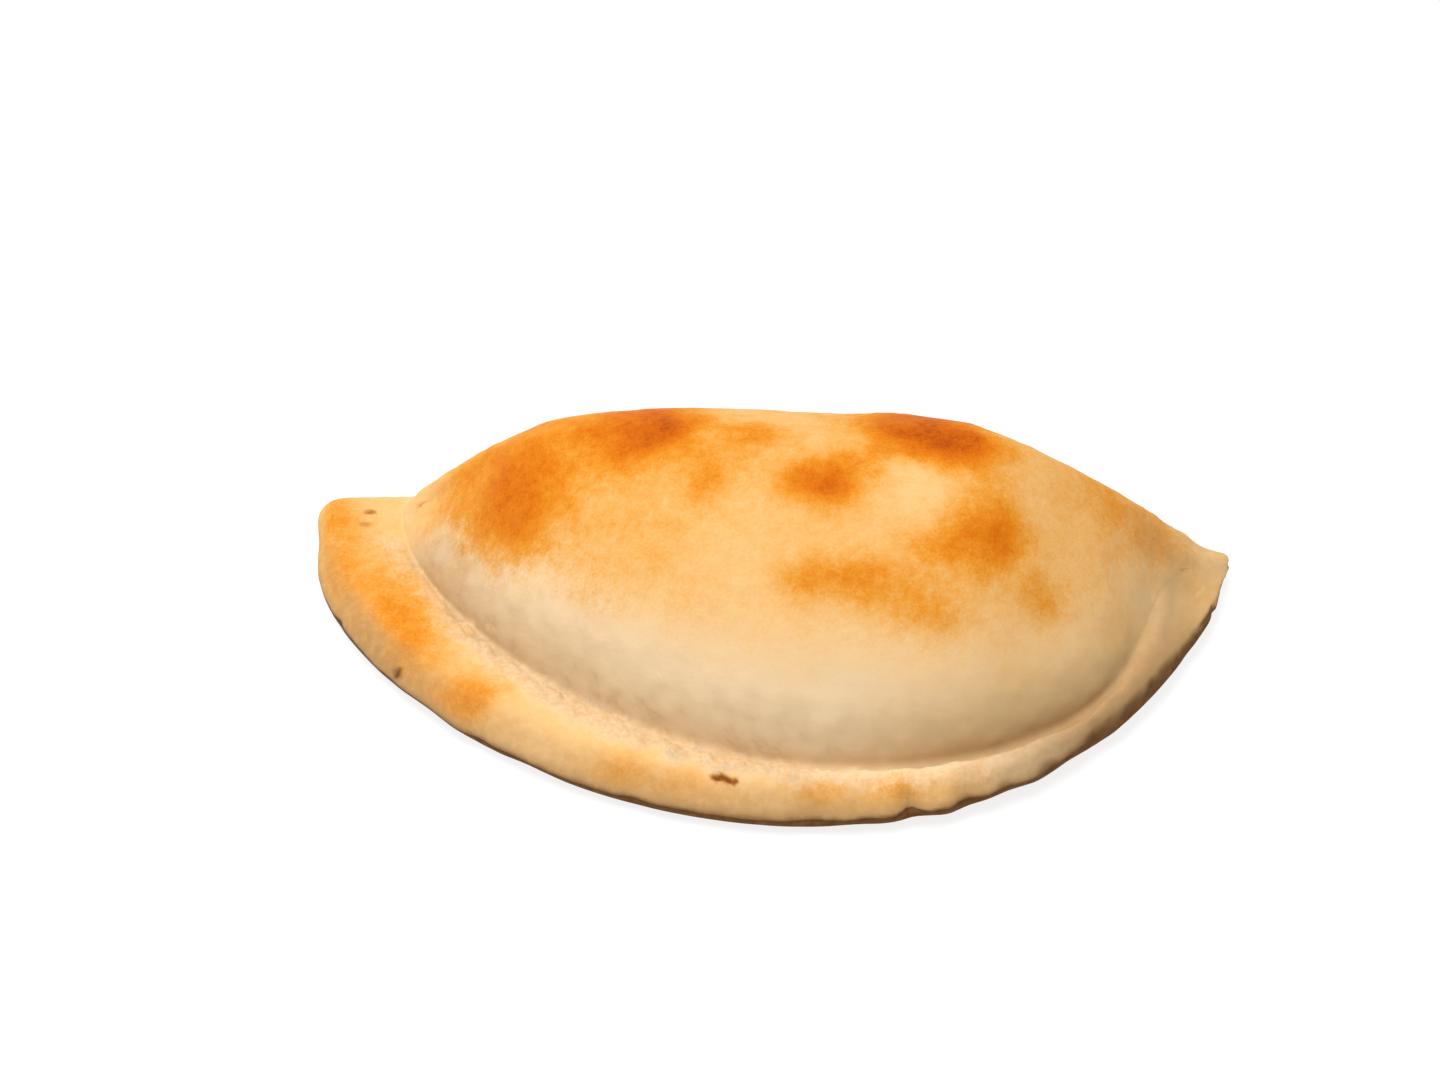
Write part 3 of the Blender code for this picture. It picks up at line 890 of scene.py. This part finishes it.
def crustMaterial():
    # browning, pale dough, crumbs, sole, painted shade in the crease, tan side and dark lip and edge browned
    # with painted shade and shadow, and specks, one laid over the other
    finish = crustFinish
    material = bpy.data.materials.new("bakedCrust")
    material.use_nodes = True
    tree = material.node_tree
    nodes, links = tree.nodes, tree.links
    surface = nodes["Principled BSDF"]
    place = nodes.new("ShaderNodeTexCoord")

    def speckle(size, detail, roughness):
        made = nodes.new("ShaderNodeTexNoise")
        made.inputs["Scale"].default_value = 1 / (size * mm)
        made.inputs["Detail"].default_value = detail
        made.inputs["Roughness"].default_value = roughness
        links.new(place.outputs["Object"], made.inputs["Vector"])
        return made.outputs["Fac"]

    def field(name):
        made = nodes.new("ShaderNodeAttribute")
        made.attribute_name = name
        return made.outputs["Fac"]

    def centred(socket):
        # brings the middle of a noise, which runs from 0 to 1, to 0
        return maths("SUBTRACT", socket, 0.5)

    def maths(operation, first, second, third=None):
        made = nodes.new("ShaderNodeMath")
        made.operation = operation
        for slot, value in enumerate((first, second, third)):
            if value is None:
                continue
            if isinstance(value, (int, float)):
                made.inputs[slot].default_value = value
            else:
                links.new(value, made.inputs[slot])
        return made.outputs[0]

    def between(value, limits):
        made = nodes.new("ShaderNodeMapRange")
        made.interpolation_type = "SMOOTHSTEP"
        links.new(value, made.inputs["Value"])
        for name, number in zip(("From Min", "From Max", "To Min", "To Max"), limits):
            made.inputs[name].default_value = number
        return made.outputs["Result"]

    def blended(amount, first, second):
        made = nodes.new("ShaderNodeMix")
        made.data_type = "RGBA"
        links.new(amount, made.inputs["Factor"])
        for slot, value in zip(colourSlots, (first, second)):
            if isinstance(value, tuple):
                made.inputs[slot].default_value = (*value, 1)
            else:
                links.new(value, made.inputs[slot])
        return made.outputs[blendedSlot]

    mottle = speckle(*finish["mottle"])
    freckle = speckle(*finish["freckle"])
    cloud = speckle(*finish["cloud"])
    toast = field("toast")
    # grain counts most where the crust is half browned
    full, gain = finish["halfBrowned"]
    half = maths("MULTIPLY", maths("MULTIPLY", toast, maths("SUBTRACT", full, toast)), gain)
    wander = maths("MULTIPLY", centred(mottle), maths("MULTIPLY_ADD", half, *finish["wander"]))
    dots = maths("MULTIPLY", centred(freckle), maths("MULTIPLY_ADD", half, *finish["dots"]))
    drift = maths("MULTIPLY", centred(cloud), finish["drift"])
    level = maths("ADD", maths("ADD", toast, wander), maths("ADD", dots, drift))

    trail = nodes.new("ShaderNodeValToRGB")
    ramp = trail.color_ramp
    stops = finish["toastTrail"]
    ramp.elements[0].position, ramp.elements[0].color = stops[0][0], (*stops[0][1], 1)
    ramp.elements[1].position, ramp.elements[1].color = stops[-1][0], (*stops[-1][1], 1)
    for position, colour in stops[1:-1]:
        ramp.elements.new(position).color = (*colour, 1)
    links.new(level, trail.inputs["Fac"])

    pale = maths("MULTIPLY", field("dough"), between(level, finish["paleUpTo"]))
    crumbs = between(speckle(*finish["crumb"]), finish["crumbMix"])
    band = blended(crumbs, finish["bandDoughShaded"], finish["crumbTan"])
    light = blended(field("crumbs"), finish["paleDough"], band)
    baked = blended(pale, trail.outputs["Color"], light)
    patchy = between(maths("ADD", cloud, wander), finish["soleMix"])
    baked = blended(field("sole"), baked, blended(patchy, finish["solePale"], finish["soleDark"]))
    # painted shade laid into the crease and over the rim of the pointed end
    baked = blended(maths("MULTIPLY", field("paintedShade"), finish["paintedShadeShare"]), baked, finish["paintedShadeColour"])
    # the lip above the sole, browned and darkened as painted shade
    lip = maths("MULTIPLY", field("lipBrownAndShade"), between(mottle, finish["lipPatches"]))
    baked = blended(between(lip, finish["lipTanMix"]), baked, finish["lipTan"])
    baked = blended(between(lip, finish["lipBrownMix"]), baked, finish["lipBrown"])
    # the rim's outer side, tan browning with painted shade
    tanAndShade = maths("MULTIPLY", field("tanAndShade"), between(mottle, finish["tanAndShadePatches"]))
    baked = blended(tanAndShade, baked, finish["tanAndShadeColour"])
    # the dark lower edge, tray browning with painted shadow under the rim
    edge = maths("MULTIPLY", field("darkEdgeAndShadow"), between(mottle, finish["edgePatches"]))
    baked = blended(edge, baked, finish["edgeBrown"])
    burnt = maths("MULTIPLY", field("speck"), between(mottle, finish["speckPatches"]))
    baked = blended(burnt, baked, finish["speckBrown"])
    links.new(baked, surface.inputs["Base Color"])

    links.new(between(maths("ADD", level, dots), finish["roughness"]), surface.inputs["Roughness"])
    surface.inputs["Specular IOR Level"].default_value = finish["specular"]
    surface.inputs["Subsurface Weight"].default_value = finish["subsurface"]
    surface.inputs["Subsurface Radius"].default_value = finish["subsurfaceTint"]
    surface.inputs["Subsurface Scale"].default_value = finish["subsurfaceReach"] * mm

    pebbleShare, crackleShare = finish["bumpShares"]
    pebbles = maths("MULTIPLY", speckle(*finish["pebble"]), pebbleShare)
    height = maths("ADD", pebbles, maths("MULTIPLY", speckle(*finish["crackle"]), crackleShare))
    bump = nodes.new("ShaderNodeBump")
    bump.inputs["Strength"].default_value = finish["bumpStrength"]
    bump.inputs["Distance"].default_value = finish["bumpHeight"] * mm
    links.new(height, bump.inputs["Height"])
    links.new(bump.outputs["Normal"], surface.inputs["Normal"])
    return material


# Floor, light and camera

studio = {
    "floorSize": 3.0,  # this and the lamp's size and place are in metres
    "floorShade": 0.22,
    "floorGlow": 0.82,  # light that the floor gives off, so that its shadows stay faint
    "floorRoughness": 0.8,
    "worldStrength": 0.46,
    "lampSize": 0.8,
    "lampAt": (-0.28, 0.02, 1.17),
    "lampPower": 12.4,
}

cameraView = {
    "lens": 85,
    "sensor": 36,
    "elevation": 42,  # degrees above the floor
    "distance": 530.5,
    "aim": (-7.98, 29.65, 0.0),
}


def paleFloor():
    bm = bmesh.new()
    bmesh.ops.create_grid(bm, x_segments=1, y_segments=1, size=studio["floorSize"] / 2)
    mesh = bpy.data.meshes.new("floor")
    bm.to_mesh(mesh)
    bm.free()
    material = bpy.data.materials.new("paleFloor")
    material.use_nodes = True
    surface = material.node_tree.nodes["Principled BSDF"]
    surface.inputs["Base Color"].default_value = (*[studio["floorShade"]] * 3, 1)
    surface.inputs["Roughness"].default_value = studio["floorRoughness"]
    surface.inputs["Emission Color"].default_value = (1, 1, 1, 1)
    surface.inputs["Emission Strength"].default_value = studio["floorGlow"]
    mesh.materials.append(material)
    floor = bpy.data.objects.new("floor", mesh)
    bpy.context.scene.collection.objects.link(floor)


def softLight():
    world = bpy.data.worlds.new("studio")
    world.use_nodes = True
    world.node_tree.nodes["Background"].inputs["Color"].default_value = (1, 1, 1, 1)
    world.node_tree.nodes["Background"].inputs["Strength"].default_value = studio["worldStrength"]
    bpy.context.scene.world = world
    lamp = bpy.data.lights.new("overhead", "AREA")
    lamp.shape = "SQUARE"
    lamp.size = studio["lampSize"]
    lamp.energy = studio["lampPower"]
    lampObject = bpy.data.objects.new("overhead", lamp)
    lampObject.location = studio["lampAt"]
    lampObject.rotation_euler = (-Vector(studio["lampAt"])).to_track_quat("-Z", "Y").to_euler()
    bpy.context.scene.collection.objects.link(lampObject)


def photoCamera():
    view = cameraView
    tilt = math.radians(view["elevation"])
    lens = bpy.data.cameras.new("photoCamera")
    lens.lens = view["lens"]
    lens.sensor_width = view["sensor"]
    camera = bpy.data.objects.new("photoCamera", lens)
    back = Vector((0, -math.cos(tilt), math.sin(tilt)))
    camera.location = (Vector(view["aim"]) + back * view["distance"]) * mm
    camera.rotation_euler = (math.pi / 2 - tilt, 0, 0)
    bpy.context.scene.collection.objects.link(camera)
    bpy.context.scene.camera = camera


crustPiece()
print("crust made")
paleFloor()
softLight()
photoCamera()
bpy.context.scene.view_settings.view_transform = "Standard"
print("floor, light and camera placed")
